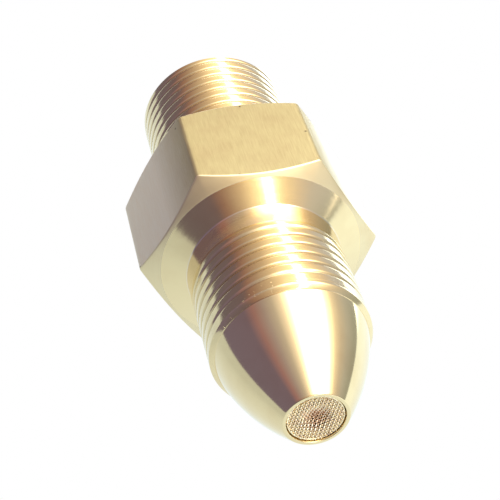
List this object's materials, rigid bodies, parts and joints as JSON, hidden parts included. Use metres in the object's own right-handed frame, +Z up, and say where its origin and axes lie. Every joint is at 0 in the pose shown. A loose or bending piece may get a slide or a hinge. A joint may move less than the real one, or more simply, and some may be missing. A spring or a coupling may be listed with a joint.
{
  "type": "oil burner nozzle",
  "caption": "Brass burner nozzle with a spanner hexagon, male threads both ends and a bull nose with a gauze strainer, opened by a sprung anti-drip valve.",
  "frame": {"origin": "middle of the bounding box's bottom, on the surface the nozzle lies on", "axes": "+Z up, out of the hexagon's top flat; +Y along the nozzle's axis, out of the discharge end, so the bull nose points along -Y"},
  "size_m": [0.0324, 0.0652, 0.028],
  "materials": {
    "body_brass": "turned and milled, bright",
    "nose_brass": "turned, polished",
    "gauze_bronze": "woven bronze wire",
    "inner_brass": "turned",
    "copper": "soft copper, matte",
    "nitrile": "moulded, satin",
    "spring_steel": "drawn wire",
    "stainless": "ground"
  },
  "bodies": {
    "housing": {"body": "body_brass", "bull_nose": "nose_brass", "inlet_gauze": "gauze_bronze", "gauze_ring": "inner_brass", "seat_washer": "copper", "valve_seat": "inner_brass", "valve_spring": "spring_steel", "spring_guide": "inner_brass", "lock_screw": "inner_brass", "swirl_distributor": "stainless", "orifice_disc": "stainless"},
    "valve": {"valve_poppet": "inner_brass", "valve_seal": "nitrile"}
  },
  "joints": [
    {"name": "valve_lift", "type": "slide", "parent": "housing", "child": "valve", "axis": [0, 1, 0], "range_m": [0, 0.0025], "stiffness_N_per_m": 800, "springref_m": -0.002, "deforming": ["valve_spring"]}
  ]
}
